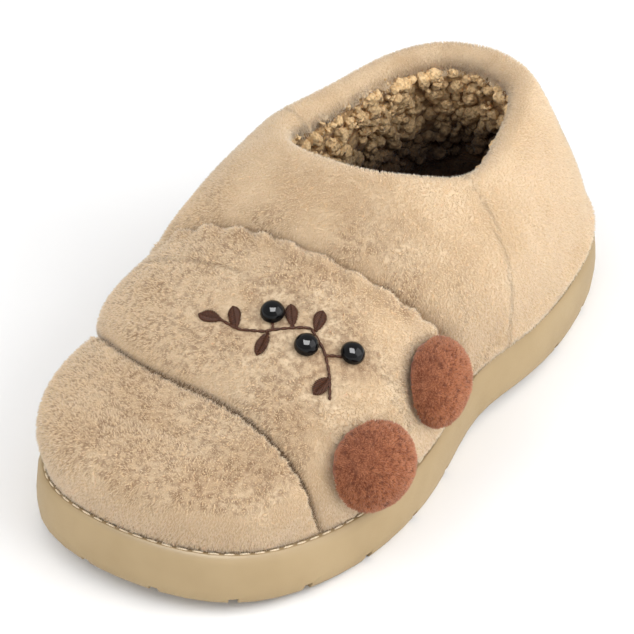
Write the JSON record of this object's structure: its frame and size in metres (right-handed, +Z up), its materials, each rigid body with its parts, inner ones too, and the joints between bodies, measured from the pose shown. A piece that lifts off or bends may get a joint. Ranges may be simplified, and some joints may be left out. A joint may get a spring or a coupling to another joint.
{
  "type": "plush house slipper",
  "caption": "Padded plush closed-toe house slipper for the left foot, with puffed sections, a fleece lined collar and a thick moulded sole.",
  "frame": {"origin": "on the floor, under the centre of the part's box", "axes": "+X to the toe, +Y to the wearer's left, which is the outer side, +Z up"},
  "size_m": [0.2728, 0.1316, 0.1014],
  "materials": {
    "sole": "satin moulded rubber",
    "plush": "short plush",
    "lining": "curly fleece",
    "fleece": "short curly fleece",
    "bead": "gloss"
  },
  "bodies": {
    "root": {"sole": "sole", "footbed": "lining", "upper": "plush", "pad_front": "fleece", "pad_rear": "fleece", "bead_1": "bead", "bead_2": "bead", "bead_3": "bead"}
  },
  "joints": []
}
